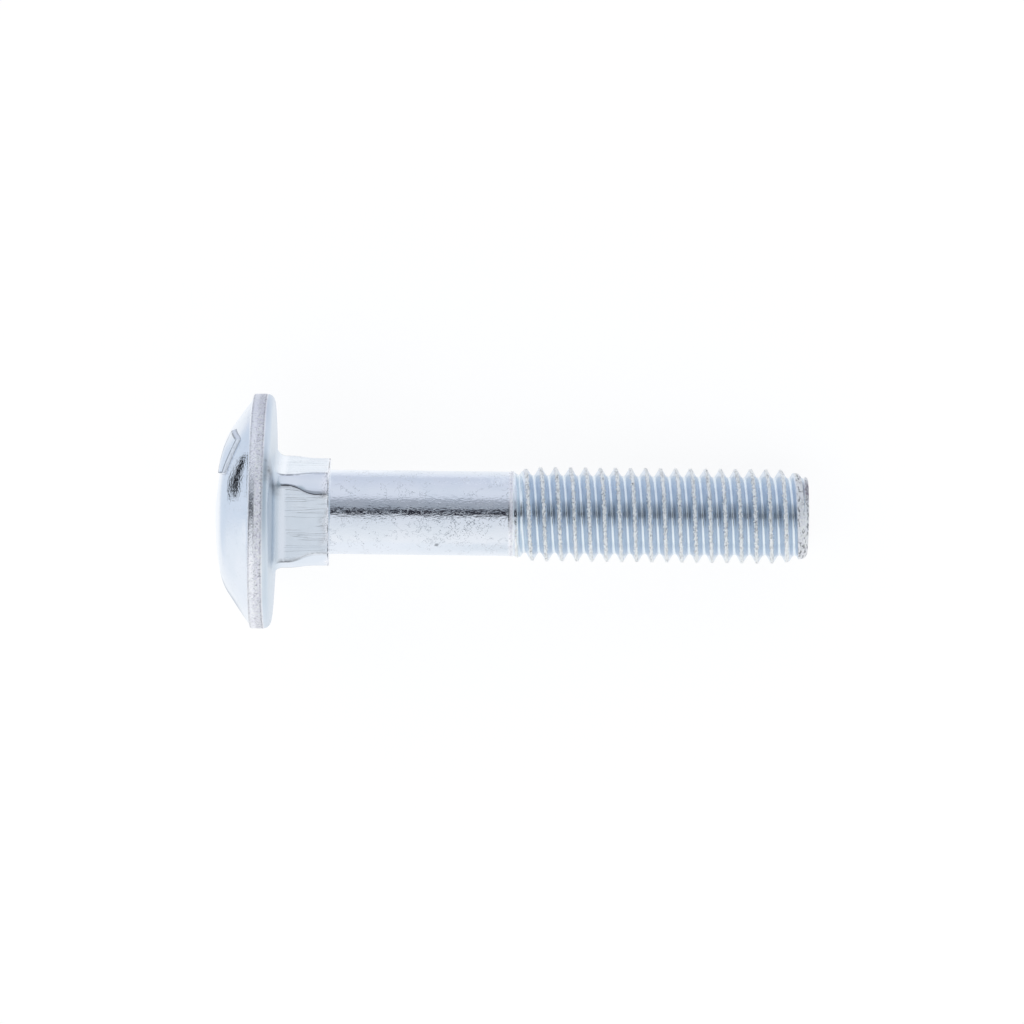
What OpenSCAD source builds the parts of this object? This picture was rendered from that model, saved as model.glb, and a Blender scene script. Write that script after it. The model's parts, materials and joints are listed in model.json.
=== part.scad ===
// Carriage bolt: mushroom head, square neck, plain shank and a rolled metric thread.
// The origin is the centre of the bearing face under the head. The bolt lies on a flat
// surface, on the rim of its head and on the thread near its tip, with the tip towards +X.

/* [Head] */
// Diameter of the head over its rim
head_d = 19.55; // [17:0.05:24]
// Height of the head, from the bearing face to the top of the dome
head_h = 4.92; // [4.6:0.02:6]
// Thickness of the rim, from the bearing face to the foot of the dome
rim_t = 1.85; // [1.2:0.05:2.4]
// Rounding of the rim's edge beside the bearing face
rim_edge_r = 0.65; // [0.2:0.05:1]
// Width of the bevel on the rim's edge beside the dome
rim_bevel = 0.15; // [0.05:0.01:0.2]
// Width of the ledge between the rim and the foot of the dome
ledge_w = 0.3; // [0.25:0.05:1]
// Slope of the dome's flank, in degrees
dome_slope = 35; // [30:1:38]
// Radius of the shallow crown on top of the dome
crown_r = 26; // [20:1:40]
// Rounding of the shoulder between the crown and the flank
shoulder_r = 4.9; // [2:0.1:6]

/* [Raised pad on the dome] */
// Length of the pad's straight side
pad_l = 3.05; // [2:0.05:3.5]
// Width of the pad at its wide end
pad_w = 2.6; // [1.8:0.1:3]
// How much narrower the pad is at its other end
pad_taper = 1.4; // [0:0.1:1.6]
// How far the wide end runs on towards the pad's slanted side
pad_slant = 0.9; // [0:0.1:1]
// Rounding of the pad's corners
pad_round = 0.3; // [0.1:0.05:0.4]
// How far the pad stands proud of the dome
pad_h = 0.32; // [0.1:0.02:0.4]
// Distance of the pad's straight side from the bolt's axis
pad_out = 6.0; // [5:0.1:6.2]
// Shift of the pad along its straight side
pad_shift = 2.95; // [1:0.05:3.1]
// Turn of the pad about the bolt's axis, in degrees
pad_turn = 0; // [0:1:359]

/* [Square neck] */
// Width across the neck's flats
neck_w = 8.0; // [7.5:0.05:8.5]
// Length of the neck below the bearing face
neck_l = 4.65; // [4:0.05:6]
// Diameter over the neck's corners beside the head
corner_head_d = 10.36; // [10:0.02:11]
// Diameter over the neck's corners beside the shank
corner_shank_d = 9.46; // [9:0.02:9.9]
// Length over which the corners fall from one diameter to the other
corner_blend_l = 2.6; // [1:0.1:2.8]
// Distance from the bearing face to the start of that fall
corner_blend_at = 1.05; // [1.05:0.05:1.2]
// Fillet between the neck and the bearing face
neck_fillet_r = 0.85; // [0.3:0.05:1]
// Bevel at the neck's end
neck_bevel = 0.15; // [0.05:0.01:0.3]
// Turn of the neck about the bolt's axis, in degrees
neck_turn = 14.7; // [0:0.1:89.9]

/* [Shank and thread] */
// Length of the bolt, from the bearing face to the tip
bolt_l = 44.4; // [35:0.1:80]
// Diameter of the plain shank
shank_d = 7.05; // [6.9:0.01:7.3]
// Length of the thread, with its run-out, from the tip
thread_l = 24.6; // [18:0.1:30]
// Outer diameter of the thread
thread_d = 7.86; // [7.7:0.01:8]
// Thread pitch
pitch = 1.25; // [1:0.25:1.25]
// Depth of the thread
thread_depth = 0.7; // [0.5:0.01:0.77]
// Angle between the thread's flanks, in degrees
flank_angle = 60; // [55:1:60]
// Width of the flat on the thread's crest
crest_w = 0.17; // [0.1:0.01:0.25]
// Depth of the round at the thread's root
root_round = 0.09; // [0.04:0.01:0.15]
// Length over which the thread fades out towards the shank
runout_l = 0.8; // [0.5:0.1:3]
// Turn about the axis at which a crest reaches the tip, in degrees
thread_turn = 26; // [0:1:359]
// Height of the rolled lip where the thread begins, over the shank
lip_h = 0.04; // [0.03:0.01:0.15]
// Length of that lip
lip_l = 0.25; // [0.2:0.05:0.8]
// Length of the slender taper that leads into the thread at the tip
tip_taper_l = 2.3; // [1:0.1:4]
// Diameter of that taper at the tip
tip_d = 6.76; // [6:0.02:7.2]
// Rounding of the tip's edge
tip_round = 0.5; // [0.1:0.05:1]
// Flats around one turn of the thread
thread_facets = 36; // [24:4:40]

/* [Hidden] */
$fn = 96;
// Overlap of neighbouring forms inside the metal, so that they fuse
sink = 0.5;
// Steps in each arc of an outline
arc_steps = 10;

thread_at = bolt_l - thread_l;
crest_pitch = crest_w / pitch;
flank_pitch = (thread_depth - root_round) * tan(flank_angle / 2) / pitch;
root_r = thread_d / 2 - thread_depth;

// One pitch of the thread as pairs: place along the axis in pitches, and radius
THREAD_FORM = [
    [-crest_pitch / 2, thread_d / 2],
    [crest_pitch / 2, thread_d / 2],
    [crest_pitch / 2 + flank_pitch, root_r + root_round],
    [1 / 2, root_r],
    [1 - crest_pitch / 2 - flank_pitch, root_r + root_round],
    [1 - crest_pitch / 2, thread_d / 2]
];
FORM_POINTS = len(THREAD_FORM) - 1;

// Points on an arc, from one angle to another
function arc(centre, r, from, to) = [
    for (i = [0:arc_steps])
        let (a = from + (to - from) * i / arc_steps)
        centre + r * [cos(a), sin(a)]
];

// Outline of the dome, from the axis to its foot. The shoulder's arc touches the crown's
// arc and the sloping flank. The outline can be raised for the pad.
function dome_outline(raise = 0) =
    let (
        foot = [head_d / 2 - ledge_w + raise * sin(dome_slope), -rim_t - raise * cos(dome_slope)],
        slope = [-cos(dome_slope), -sin(dome_slope)],
        inward = [-sin(dome_slope), cos(dome_slope)],
        crown_centre = [0, crown_r - head_h],
        crown = crown_r + raise,
        shoulder = shoulder_r + raise,
        q = foot + shoulder * inward - crown_centre,
        along = q * slope,
        run = -along + sqrt(along * along - q * q + pow(crown - shoulder, 2)),
        centre = foot + run * slope + shoulder * inward,
        meet = atan2(centre[1] - crown_centre[1], centre[0] - crown_centre[0])
    )
    concat(
        arc(crown_centre, crown, -90, meet),
        arc(centre, shoulder, meet, dome_slope - 90),
        [foot]
    );

// The bolt rests on a line from the rim's rounded edge to the last full crest of the thread
rim_edge = [head_d / 2 - rim_edge_r, -rim_edge_r];
last_crest = [thread_d / 2, bolt_l - tip_taper_l];
reach = last_crest - rim_edge;
rest_tilt = atan2(-reach[0], reach[1]) + asin(rim_edge_r / norm(reach));

// Mushroom head: dome, narrow ledge, rim and flat bearing face
module head() {
    rim_r = head_d / 2;
    rotate_extrude()
        polygon(concat(
            dome_outline(),
            [[rim_r - rim_bevel, -rim_t], [rim_r, -rim_t + rim_bevel]],
            arc(rim_edge, rim_edge_r, 0, 90),
            [[0, 0]]
        ));
}

// Corners of the plain pad, seen along the axis
pad_corners = [
    [-pad_out, pad_shift],
    [-pad_out + pad_w - pad_taper, pad_shift],
    [-pad_out + pad_w, pad_shift + pad_l + pad_slant],
    [-pad_out, pad_shift + pad_l]
];

// An outline with its corners rounded. It runs counter-clockwise.
function rounded(outline, r) =
    let (n = len(outline))
    [
        for (i = [0:n - 1])
            let (
                back = outline[(i + n - 1) % n] - outline[i],
                ahead = outline[(i + 1) % n] - outline[i],
                a = back / norm(back),
                b = ahead / norm(ahead),
                centre = outline[i] + (a + b) * r / abs(a[0] * b[1] - a[1] * b[0]),
                from = atan2(a[0], -a[1]),
                to = atan2(-b[0], b[1])
            )
            each arc(centre, r, from, to > from ? to : to + 360)
    ];

// Plain raised pad that follows the dome
module pad() {
    intersection() {
        rotate_extrude()
            polygon(concat(dome_outline(pad_h), [[0, -rim_t]]));
        rotate([0, 0, pad_turn])
            translate([0, 0, -head_h - pad_h])
                linear_extrude(head_h + pad_h - rim_t)
                    polygon(rounded(pad_corners, pad_round));
    }
}

// Side view of the neck: straight flats that flare into the bearing face
module neck_side() {
    half = neck_w / 2;
    difference() {
        translate([-half - neck_fillet_r, -sink])
            square([neck_w + 2 * neck_fillet_r, neck_l + sink]);
        for (side = [-1, 1])
            translate([side * (half + neck_fillet_r), neck_fillet_r]) {
                circle(r = neck_fillet_r);
                translate([-neck_fillet_r, 0])
                    square([2 * neck_fillet_r, neck_l]);
            }
    }
}

// Outline of the neck's corners, sharper beside the head and rounder beside the shank
function corner_outline() =
    let (
        top = corner_head_d / 2,
        low = corner_shank_d / 2,
        fall = top - low,
        bend_r = (pow(corner_blend_l, 2) + pow(fall, 2)) / (4 * fall),
        bend = asin(corner_blend_l / 2 / bend_r),
        fillet = [top + neck_fillet_r, neck_fillet_r]
    )
    concat(
        [[0, -sink], [top + neck_fillet_r, -sink]],
        arc(fillet, neck_fillet_r, -90, -180),
        arc([top - bend_r, corner_blend_at], bend_r, 0, bend),
        arc([low + bend_r, corner_blend_at + corner_blend_l], bend_r, bend - 180, -180),
        [[low, neck_l - neck_bevel], [low - neck_bevel, neck_l], [0, neck_l]]
    );

// One pair of flats, as wide as the corners reach
module flat_pair() {
    width = corner_head_d + 2 * neck_fillet_r + sink;
    translate([0, width / 2, 0])
        rotate([90, 0, 0])
            linear_extrude(width)
                neck_side();
}

// Square neck: two pairs of flats, with round corners
module neck() {
    rotate([0, 0, neck_turn])
        intersection() {
            flat_pair();
            rotate([0, 0, 90])
                flat_pair();
            rotate_extrude()
                polygon(corner_outline());
        }
}

// Plain shank, ending in the lip that the thread rollers raise
module shank() {
    translate([0, 0, -sink])
        cylinder(d = shank_d, h = thread_at - lip_l + 2 * sink);
    translate([0, 0, thread_at - lip_l])
        cylinder(d = shank_d + 2 * lip_h, h = lip_l);
}

// Radius of the thread at a height and an angle. It fades to the shank at the run-out.
function thread_radius(z, angle) =
    let (
        turns = (z - bolt_l) / pitch - (angle - thread_turn) / 360,
        phase = turns - floor(turns + crest_pitch / 2),
        t = min(max((z - thread_at) / runout_l, 0), 1),
        fade = t * t * (3 - 2 * t),
        start_r = shank_d / 2 - lip_h
    )
    start_r + (lookup(phase, THREAD_FORM) - start_r) * fade;

// Right-hand thread as one closed skin: each column is the thread's section at one angle,
// a little further along the axis than the last one
module thread_skin() {
    low = thread_at - lip_l / 2;
    turns = ceil((bolt_l - low) / pitch) + 3;
    rows = turns * FORM_POINTS;
    first = bolt_l - (turns - 1) * pitch - thread_turn / 360 * pitch;
    columns = [
        for (c = [0:thread_facets - 1])
            let (angle = 360 * c / thread_facets)
            [
                for (i = [0:rows - 1])
                    let (
                        form = THREAD_FORM[i % FORM_POINTS],
                        along = floor(i / FORM_POINTS) + form[0] + angle / 360,
                        z = min(max(first + along * pitch, low), bolt_l),
                        r = thread_radius(z, angle)
                    )
                    [r * cos(angle), r * sin(angle), z]
            ]
    ];
    skin = [for (column = columns) each column];
    middle_low = len(skin);
    middle_end = middle_low + 1;
    // The last column meets the first one a whole turn further along
    function at(c, i) = c < thread_facets ?
        c * rows + i : min(i + FORM_POINTS, rows - 1);
    faces = concat(
        [
            for (c = [0:thread_facets - 1], i = [0:rows - 2])
                each [
                    [at(c, i), at(c, i + 1), at(c + 1, i + 1)],
                    [at(c, i), at(c + 1, i + 1), at(c + 1, i)]
                ]
        ],
        [for (c = [0:thread_facets - 1]) [middle_low, at(c, 0), at(c + 1, 0)]],
        [for (c = [0:thread_facets - 1]) [middle_end, at(c + 1, rows - 1), at(c, rows - 1)]]
    );
    polyhedron(concat(skin, [[0, 0, low], [0, 0, bolt_l]]), faces);
}

// Thread with its tapered and rounded tip
module thread() {
    wide = thread_d / 2 + sink;
    taper = atan((thread_d - tip_d) / 2 / tip_taper_l);
    edge = [tip_d / 2 - tip_round * (1 - sin(taper)) / cos(taper), bolt_l - tip_round];
    intersection() {
        thread_skin();
        rotate_extrude()
            polygon(concat(
                [
                    [0, thread_at - sink],
                    [wide, thread_at - sink],
                    [wide, bolt_l - (wide - tip_d / 2) / tan(taper)]
                ],
                arc(edge, tip_round, taper, 90),
                [[0, bolt_l]]
            ));
    }
}

// The bolt, laid down as it rests
module bolt() {
    color("lightsteelblue")
        rotate([0, 90 + rest_tilt, 0])
            union() {
                head();
                pad();
                neck();
                shank();
                thread();
            }
}

bolt();
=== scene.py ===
"""A zinc-plated carriage bolt: its finished surface over the solid model, and its studio."""

import json
import math
from types import SimpleNamespace

import bmesh
import bpy
import numpy as np
from bpy.props import FloatProperty, FloatVectorProperty, IntProperty, PointerProperty
from mathutils import Matrix, Vector, noise


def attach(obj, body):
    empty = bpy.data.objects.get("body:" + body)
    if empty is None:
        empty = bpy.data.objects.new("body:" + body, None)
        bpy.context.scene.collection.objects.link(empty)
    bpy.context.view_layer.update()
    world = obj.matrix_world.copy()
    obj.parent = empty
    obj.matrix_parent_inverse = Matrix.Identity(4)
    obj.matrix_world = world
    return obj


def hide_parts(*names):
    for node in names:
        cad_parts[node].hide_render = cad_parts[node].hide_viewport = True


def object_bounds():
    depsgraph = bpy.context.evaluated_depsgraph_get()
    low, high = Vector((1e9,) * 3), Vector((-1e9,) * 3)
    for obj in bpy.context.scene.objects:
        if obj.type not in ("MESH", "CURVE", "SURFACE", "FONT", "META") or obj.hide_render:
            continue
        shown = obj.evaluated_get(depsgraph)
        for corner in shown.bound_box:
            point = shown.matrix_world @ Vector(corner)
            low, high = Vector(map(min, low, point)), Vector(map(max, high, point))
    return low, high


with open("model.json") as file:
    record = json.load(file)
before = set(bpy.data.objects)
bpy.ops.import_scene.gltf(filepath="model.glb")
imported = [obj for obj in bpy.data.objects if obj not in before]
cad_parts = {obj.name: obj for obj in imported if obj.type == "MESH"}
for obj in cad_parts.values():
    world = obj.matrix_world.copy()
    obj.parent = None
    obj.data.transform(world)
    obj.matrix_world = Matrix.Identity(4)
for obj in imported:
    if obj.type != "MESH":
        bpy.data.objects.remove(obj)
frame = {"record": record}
cad_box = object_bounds()

bl_info = {
    "name": "Carriage bolt",
    "version": (1, 0, 0),
    "blender": (4, 5, 0),
    "location": "View3D > Sidebar > Carriage bolt",
    "description": "Makes the finished surface of a carriage bolt, and the studio around it",
    "category": "Object",
}

MM = 0.001
NODE = "bolt"
BODY = "root"

BEARING = next(m for m in frame["record"]["mounts"] if m["name"] == "bearing_face")
# The bolt's own directions in the row's frame: along the axis, across it, and up out of it
ALONG = Vector(BEARING["axis"]).normalized()
ACROSS = Vector((0, 1, 0))
UPWARD = ALONG.cross(ACROSS)


def length(name, size, description):
    """A property that holds a length, given in millimetres."""
    return FloatProperty(
        name=name, description=description, default=size * MM, unit="LENGTH", precision=5
    )


def angle(name, degrees, description):
    """A property that holds an angle, given in degrees."""
    return FloatProperty(
        name=name, description=description, default=math.radians(degrees), unit="ROTATION"
    )


def factor(name, share, description):
    """A property that holds a share between 0 and 1."""
    return FloatProperty(
        name=name, description=description, default=share, min=0, max=1, subtype="FACTOR"
    )


def colour(name, rgb, description):
    """A property that holds a linear colour."""
    return FloatVectorProperty(
        name=name, description=description, default=rgb, min=0, max=1, subtype="COLOR"
    )


class BoltSizes(bpy.types.PropertyGroup):
    """Sizes of the bolt's surface. They follow its solid model, with small forging marks."""

    head_d: length("Head diameter", 19.55, "Diameter of the head over its rim")
    head_h: length("Head height", 4.92, "From the bearing face to the top of the dome")
    rim_t: length("Rim thickness", 1.85, "From the bearing face to the foot of the dome")
    rim_edge_r: length("Rim edge", 0.65, "Rounding of the rim beside the bearing face")
    rim_bevel: length("Rim bevel", 0.15, "Bevel of the rim beside the dome")
    ledge_w: length("Ledge", 0.3, "Width of the ledge at the foot of the dome")
    dome_slope: angle("Dome slope", 35, "Slope of the dome's flank")
    dome_swell: length("Dome swell", 0.04, "How far the forged flank swells between its ends")
    crown_r: length("Crown", 26, "Radius of the shallow crown")
    shoulder_r: length("Shoulder", 4.9, "Rounding between the crown and the flank")
    under_rise: length("Underside rise", 0.12, "How far the bearing face falls back at the rim")
    lean: angle("Lean", 0.5, "Lean of the forged head on the neck")
    dent: length("Dent", 0.17, "Depth of the shallow dent in the crown")
    pad_l: length("Pad length", 3.05, "Length of the pad's straight side")
    pad_w: length("Pad width", 2.6, "Width of the pad at its wide end")
    pad_taper: length("Pad taper", 1.4, "How much narrower the pad is at its other end")
    pad_slant: length("Pad slant", 0.9, "How far the wide end runs on at the slanted side")
    pad_round: length("Pad corners", 0.22, "Rounding of the raised pad's corners")
    pad_h: length("Pad height", 0.32, "How far the pad stands proud of the dome")
    pad_out: length("Pad distance", 6.0, "From the axis to the pad's straight side")
    pad_shift: length("Pad shift", 2.95, "Shift of the pad along its straight side")
    neck_w: length("Neck width", 8.0, "Width across the neck's flats")
    neck_l: length("Neck length", 4.65, "From the bearing face to the neck's end")
    corner_head_d: length("Corners at head", 10.36, "Over the corners beside the head")
    corner_shank_d: length("Corners at shank", 9.46, "Over the corners beside the shank")
    corner_blend_l: length("Corner fall", 2.6, "Length over which the corners fall")
    corner_blend_at: length("Corner fall start", 1.05, "Where the corners start to fall")
    neck_fillet_r: length("Neck fillet", 0.85, "Between the neck and the bearing face")
    neck_bevel: length("Neck bevel", 0.15, "Bevel at the neck's end")
    neck_turn: angle("Neck turn", 14.7, "Turn of the neck about the axis")
    bolt_l: length("Bolt length", 44.4, "From the bearing face to the tip")
    shank_d: length("Shank diameter", 7.05, "Diameter of the plain shank")
    thread_l: length("Thread length", 24.7, "Length of the thread, with its run-out")
    thread_d: length("Thread diameter", 7.86, "Over the thread's crests")
    pitch: length("Pitch", 1.25, "Thread pitch")
    thread_depth: length("Thread depth", 0.7, "From the crest to the root")
    crest_w: length("Crest width", 0.17, "Width of the crest")
    runout_l: length("Run-out", 0.7, "Length over which the thread fades out")
    thread_turn: angle("Thread turn", 26, "Turn at which a crest reaches the tip")
    tip_taper_l: length("Tip taper", 2.3, "Length of the taper at the tip")
    tip_d: length("Tip diameter", 6.76, "Diameter of the taper at the tip")
    tip_round: length("Tip rounding", 0.5, "Rounding of the tip's edge")
    roughcast: length("Unevenness", 0.035, "Unevenness of the forged and rolled edges")
    columns_flat: IntProperty(
        name="Flat columns", description="Columns of points across half a flat", default=12
    )
    pad_steps: IntProperty(
        name="Pad steps", description="Rows and columns of points on the raised pad", default=72
    )


class ZincLook(bpy.types.PropertyGroup):
    """Colours and roughness of the bright zinc plating."""

    zinc: colour("Zinc", (0.77, 0.81, 0.875), "Bright zinc")
    blue_zinc: colour("Blue zinc", (0.71, 0.77, 0.84), "Patches of bluer zinc")
    shaded: colour("Shaded zinc", (0.61, 0.70, 0.78), "Zinc under the head and on the neck's flats")
    # Painted shade: darker, bluer zinc on the thread's flanks
    groove: colour("Groove", (0.59, 0.68, 0.785), "Zinc on the thread's flanks")
    # Painted highlight: a brighter, bluer line along the thread's root
    root: colour("Root", (0.88, 0.96, 1.0), "Zinc at the thread's root")
    rough_zinc: colour("Rough zinc", (0.92, 0.94, 0.97), "Zinc on forged and rolled edges")
    silver: colour("Silver", (0.98, 1.0, 1.0), "Zinc on the thread's crests and the tip")
    mauve: colour("Mauve", (0.84, 0.83, 0.93), "Iridescent tint on the rim and the tip")
    stain: colour("Stain", (0.17, 0.14, 0.20), "Dark mauve stain on the tip's edge")
    # Also the colour of the painted shade beside the neck's corner and along the pad's edges
    pit: colour("Pit", (0.10, 0.11, 0.13), "Inside of the pits and seams")
    bright_rough: factor("Bright roughness", 0.06, "Roughness of the smooth plating")
    groove_rough: factor("Groove roughness", 0.3, "Roughness of the thread's flanks")
    edge_rough: factor("Edge roughness", 0.5, "Roughness on the rim, the crests and the tip")
    flat_rough: factor("Flat roughness", 0.2, "Roughness of the neck's flats")
    edge_dull: factor("Edge dullness", 0.6, "How little the rough edges mirror")


class StudioSetting(bpy.types.PropertyGroup):
    """The floor, the lamp and the camera."""

    floor: colour("Floor", (0.86, 0.86, 0.86), "Brightness of the floor, beside its shadow")
    floor_size: length("Floor size", 3000, "Width of the floor")
    frame_w: length("Frame width", 85.33, "Width of the picture at the bolt's axis")
    distance: length("Camera distance", 500, "From the camera to the bolt's axis")
    aim_along: length("Aim along", 19.79, "Where the camera looks along the bolt's axis")
    aim_across: length("Aim across", 0.15, "How far beside the axis the camera looks")
    roll: angle("Roll", 0.63, "Turn of the camera about its view")
    lamp_w: length("Lamp width", 350, "Width of the soft lamp")
    lamp_power: FloatProperty(
        name="Lamp power", description="Power of the soft lamp", default=0.3, unit="POWER"
    )
    lamp_at: FloatVectorProperty(
        name="Lamp place", description="Where the soft lamp hangs", default=(-0.1, -0.2, 0.5),
        subtype="TRANSLATION",
    )


def smooth(t):
    """0 below 0, 1 above 1, and a smooth rise between."""
    t = np.clip(t, 0, 1)
    return t * t * (3 - 2 * t)


def bump_at(x, middle, half):
    """1 at the middle, falling smoothly to 0 at half on either side."""
    return smooth(1 - np.abs(x - middle) / half)


def around(angles, middle, half):
    """1 at an angle round the axis, in degrees, falling smoothly to 0 at half on either side."""
    return bump_at(angles % (2 * math.pi), math.radians(middle), math.radians(half))


def arc(centre, radius, start, end, steps):
    """Points on an arc from one angle to another, in radians."""
    turn = np.linspace(start, end, steps)
    return [(centre[0] + radius * math.cos(a), centre[1] + radius * math.sin(a)) for a in turn]


def dome_outline(size):
    """The dome's outline as (radius, height) pairs, from the axis to its foot."""
    slope = size.dome_slope
    foot = np.array([size.head_d / 2 - size.ledge_w, -size.rim_t])
    down_slope = -np.array([math.cos(slope), math.sin(slope)])
    inward = np.array([-math.sin(slope), math.cos(slope)])
    crown_centre = np.array([0, size.crown_r - size.head_h])
    crown, shoulder = size.crown_r, size.shoulder_r
    q = foot + shoulder * inward - crown_centre
    along = q @ down_slope
    run = -along + math.sqrt(along**2 - q @ q + (crown - shoulder) ** 2)
    centre = foot + run * down_slope + shoulder * inward
    meet = math.atan2(centre[1] - crown_centre[1], centre[0] - crown_centre[0])
    flank = centre + shoulder * -inward
    outline = np.array(
        arc(crown_centre, crown, -math.pi / 2, meet, 16)
        + arc(centre, shoulder, meet, slope - math.pi / 2, 14)[1:]
        + [tuple(flank + (foot - flank) * t) for t in np.linspace(0, 1, 15)[1:]]
    )
    # The swell rises from the foot and fades out on the shoulder. The 6.75 makes it whole
    # where it is highest, a third of the way
    reach = 1.35 * np.linalg.norm(foot - flank)
    share = np.clip(np.linalg.norm(outline - foot, axis=1) / reach, 0, 1)
    swell = size.dome_swell * 6.75 * share * (1 - share) ** 2
    return outline - swell[:, None] * inward


class Skin:
    """Rings of points round the bolt's axis. A ring's radius and height may vary round it."""

    # What each point is marked with, as values from 0 to 1 that the material reads
    MARKS = (
        "rim", "crest", "flat", "shank", "tip", "dome", "groove", "root", "seam", "under",
        "smudge", "scuff", "stained",
    )
    # Where the plain columns have the edges of a flat, on either side of its middle
    EDGE = math.radians(36)

    def __init__(self, size, columns_flat):
        self.size = size
        edge, near = self.EDGE, math.radians(0.7)
        half = [edge * k / columns_flat for k in range(columns_flat)]
        half += [edge - near, edge, edge + near]
        rest = math.pi / 4 - edge - near
        half += [edge + near + rest * k / 4 for k in (1, 2, 3, 4)]
        half = sorted(set(half))
        quarter = [-a for a in half[:0:-1]] + half[:-1]
        self.base = np.concatenate([np.array(quarter) + q * math.pi / 2 for q in range(4)])
        self.columns = len(self.base)
        self.rings = []
        self.faces = []

    def turned(self, edge=None):
        """The columns' angles, drawn towards the neck's edge lines where edge is given."""
        angles = self.base
        if edge is not None:
            quarter = np.round(angles / (math.pi / 2)) * (math.pi / 2)
            t = angles - quarter
            inner = t * edge / self.EDGE
            corner = math.pi / 4
            outer = edge + (np.abs(t) - self.EDGE) * (corner - edge) / (corner - self.EDGE)
            moved = np.where(np.abs(t) <= self.EDGE, inner, np.sign(t) * outer)
            angles = quarter + moved
        return angles + self.size.neck_turn

    def ring(self, radius, height, angles=None, **marks):
        """Adds one ring of points."""
        angles = self.turned() if angles is None else angles
        full = np.ones(self.columns)
        row = [radius * full, height * full, angles]
        row += [marks.get(mark, 0.0) * full for mark in self.MARKS]
        self.rings.append(np.array(row))

    def join(self, first, lead=0):
        """Faces between the rings from first to the last. A helix meets itself lead rings on."""
        last = len(self.rings) - 1
        c = np.arange(self.columns)
        following = (c + 1) % self.columns
        for i in range(first, last):
            low, high = i, i + 1
            low_next = np.where(following == 0, np.minimum(low + lead, last), low)
            high_next = np.where(following == 0, np.minimum(high + lead, last), high)
            quad = np.stack(
                [
                    low * self.columns + c,
                    low_next * self.columns + following,
                    high_next * self.columns + following,
                    high * self.columns + c,
                ],
                axis=1,
            )
            self.faces.append(quad)

    def uneven(self, amount):
        """Lets the forged and rolled edges stray a little, by smooth noise."""
        grid = np.array(self.rings)
        radius, height, turn = grid[:, 0], grid[:, 1], grid[:, 2]
        mark = {name: grid[:, 3 + i] for i, name in enumerate(self.MARKS)}
        share = np.clip(mark["rim"] + mark["crest"] + mark["tip"] + 0.15 * mark["flat"], 0, 1)
        # Points on the axis itself stay there
        share = share * np.clip(radius / MM, 0, 1)
        wave_size, fall_off, lacunarity, octaves = 0.55 * MM, 0.8, 2.1, 3
        for i, c in zip(*np.nonzero(share > 0.01)):
            a = turn[i, c]
            spot = Vector((radius[i, c] * math.cos(a), radius[i, c] * math.sin(a), height[i, c]))
            wave = noise.fractal(spot / wave_size, fall_off, lacunarity, octaves)
            radius[i, c] += amount * share[i, c] * wave
        self.rings = list(grid)

    def object(self, name):
        """The finished mesh, laid down as the bolt rests."""
        grid = np.array(self.rings)
        radius, height, turn = (grid[:, k].ravel() for k in range(3))
        across = radius * np.sin(turn)
        height = height + lean_at(self.size, across, height)
        local = np.stack([radius * np.cos(turn), across, height], axis=1)
        return skin_object(name, local, np.concatenate(self.faces), {
            mark: grid[:, 3 + i].ravel() for i, mark in enumerate(self.MARKS)
        })


def skin_object(name, local, quads, marks):
    """A mesh object from points in the bolt's own frame, with its marks as attributes."""
    turn = Matrix((-UPWARD, ACROSS, ALONG)).transposed()
    points = local @ np.array(turn).T
    mesh = bpy.data.meshes.new(name)
    mesh.from_pydata(points.tolist(), [], quads.tolist())
    place = mesh.attributes.new("place", "FLOAT_VECTOR", "POINT")
    place.data.foreach_set("vector", (local / MM).astype(np.float32).ravel())
    for mark, values in marks.items():
        layer = mesh.attributes.new(mark, "FLOAT", "POINT")
        layer.data.foreach_set("value", values.astype(np.float32))
    weld(mesh)
    mesh.shade_smooth()
    piece = bpy.data.objects.new(name, mesh)
    bpy.context.scene.collection.objects.link(piece)
    return piece


def weld(mesh):
    """Joins points that lie on each other, and turns every face outwards."""
    work = bmesh.new()
    work.from_mesh(mesh)
    bmesh.ops.remove_doubles(work, verts=work.verts, dist=0.0002 * MM)
    bmesh.ops.recalc_face_normals(work, faces=work.faces)
    work.to_mesh(mesh)
    work.free()


def dent_at(size, x, y):
    """How deep the shallow dent in the crown is at a place, seen along the axis."""
    middle, half, stretch = (-1.2 * MM, 2.5 * MM), 2.6 * MM, 1.2
    reach = np.hypot((x - middle[0]) / stretch, y - middle[1])
    return size.dent * smooth(1 - reach / half)


def lean_at(size, y, z):
    """How far the lean of the head moves a place along the axis."""
    return math.tan(size.lean) * y * smooth(1 - z / (2.5 * MM))


def dome_rings(skin, size):
    """Dome, and the narrow ledge at its foot."""
    outline = dome_outline(size)
    for r, z in outline[:-1]:
        angles = skin.turned()
        z = z + dent_at(size, r * np.cos(angles), r * np.sin(angles))
        skin.ring(r, z, dome=1.0)
    foot_r = outline[-1][0]
    crease = 0.03 * MM
    skin.ring(foot_r - crease, -size.rim_t - crease, dome=0.8)
    skin.ring(foot_r + crease, -size.rim_t - 0.01 * MM, dome=0.4, rim=0.1)


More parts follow.
